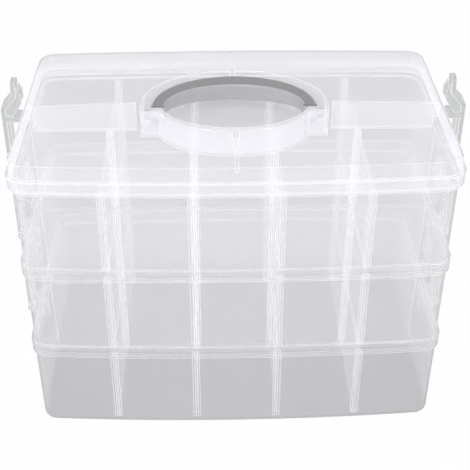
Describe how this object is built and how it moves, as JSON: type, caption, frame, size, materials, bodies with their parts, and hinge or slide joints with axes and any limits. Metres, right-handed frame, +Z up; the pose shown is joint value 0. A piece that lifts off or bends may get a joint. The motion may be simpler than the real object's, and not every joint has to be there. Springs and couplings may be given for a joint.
{
  "type": "stacking craft storage box",
  "caption": "Clear stacking storage box: divided trays with removable dividers, a lift-off lid with a fold-flat oval handle, and hinged side latches.",
  "frame": {"origin": "centre of the box's outline on the surface it stands on", "axes": "+X along the box to the right, +Y to the rear where the handle lies folded, +Z up"},
  "size_m": [0.2628, 0.1492, 0.1979],
  "materials": {
    "clear_plastic": "satin, milky translucent polypropylene",
    "grey_handle": "smooth gloss"
  },
  "bodies": {
    "tray_bottom": {"tray_bottom": "clear_plastic", "divider_bottom_front_1": "clear_plastic", "divider_bottom_front_2": "clear_plastic", "divider_bottom_front_3": "clear_plastic", "divider_bottom_front_4": "clear_plastic", "divider_bottom_rear_1": "clear_plastic", "divider_bottom_rear_2": "clear_plastic", "divider_bottom_rear_3": "clear_plastic", "divider_bottom_rear_4": "clear_plastic"},
    "tray_middle": {"tray_middle": "clear_plastic", "divider_middle_front_1": "clear_plastic", "divider_middle_front_2": "clear_plastic", "divider_middle_front_3": "clear_plastic", "divider_middle_front_4": "clear_plastic", "divider_middle_rear_1": "clear_plastic", "divider_middle_rear_2": "clear_plastic", "divider_middle_rear_3": "clear_plastic", "divider_middle_rear_4": "clear_plastic"},
    "tray_top": {"tray_top": "clear_plastic", "divider_top_front_1": "clear_plastic", "divider_top_front_2": "clear_plastic", "divider_top_front_3": "clear_plastic", "divider_top_front_4": "clear_plastic", "divider_top_rear_1": "clear_plastic", "divider_top_rear_2": "clear_plastic", "divider_top_rear_3": "clear_plastic", "divider_top_rear_4": "clear_plastic"},
    "lid": {"lid": "clear_plastic"},
    "handle": {"handle": "grey_handle"},
    "latch_bottom_left": {"latch_bottom_left": "clear_plastic"},
    "latch_bottom_right": {"latch_bottom_right": "clear_plastic"},
    "latch_middle_left": {"latch_middle_left": "clear_plastic"},
    "latch_middle_right": {"latch_middle_right": "clear_plastic"},
    "latch_top_left": {"latch_top_left": "clear_plastic"},
    "latch_top_right": {"latch_top_right": "clear_plastic"}
  },
  "joints": [
    {"name": "tray_middle_lift", "type": "slide", "parent": "tray_bottom", "child": "tray_middle", "axis": [0, 0, 1], "range_m": [0, 0.028]},
    {"name": "tray_top_lift", "type": "slide", "parent": "tray_middle", "child": "tray_top", "axis": [0, 0, 1], "range_m": [0, 0.028]},
    {"name": "lid_lift", "type": "slide", "parent": "tray_top", "child": "lid", "axis": [0, 0, 1], "range_m": [0, 0.028]},
    {"name": "handle_fold", "type": "hinge", "parent": "lid", "child": "handle", "pos_m": [0, 0, 0.1747], "axis": [1, 0, 0], "range_deg": [0, 90]},
    {"name": "latch_bottom_left_swing", "type": "hinge", "parent": "tray_bottom", "child": "latch_bottom_left", "pos_m": [-0.1286, 0, 0.0418], "axis": [0, -1, 0], "range_deg": [0, 120]},
    {"name": "latch_bottom_right_swing", "type": "hinge", "parent": "tray_bottom", "child": "latch_bottom_right", "pos_m": [0.1286, 0, 0.0418], "axis": [0, 1, 0], "range_deg": [0, 120]},
    {"name": "latch_middle_left_swing", "type": "hinge", "parent": "tray_middle", "child": "latch_middle_left", "pos_m": [-0.1286, 0, 0.0966], "axis": [0, -1, 0], "range_deg": [0, 120]},
    {"name": "latch_middle_right_swing", "type": "hinge", "parent": "tray_middle", "child": "latch_middle_right", "pos_m": [0.1286, 0, 0.0966], "axis": [0, 1, 0], "range_deg": [0, 120]},
    {"name": "latch_top_left_swing", "type": "hinge", "parent": "tray_top", "child": "latch_top_left", "pos_m": [-0.1286, 0, 0.1514], "axis": [0, -1, 0], "range_deg": [0, 120]},
    {"name": "latch_top_right_swing", "type": "hinge", "parent": "tray_top", "child": "latch_top_right", "pos_m": [0.1286, 0, 0.1514], "axis": [0, 1, 0], "range_deg": [0, 120]}
  ],
  "couplings": [
    {"joint": "latch_bottom_left_swing", "follows": "tray_middle_lift", "rad_per_m": 74.79},
    {"joint": "latch_bottom_right_swing", "follows": "tray_middle_lift", "rad_per_m": 74.79},
    {"joint": "latch_middle_left_swing", "follows": "tray_top_lift", "rad_per_m": 74.79},
    {"joint": "latch_middle_right_swing", "follows": "tray_top_lift", "rad_per_m": 74.79},
    {"joint": "latch_top_left_swing", "follows": "lid_lift", "rad_per_m": 74.79},
    {"joint": "latch_top_right_swing", "follows": "lid_lift", "rad_per_m": 74.79}
  ]
}
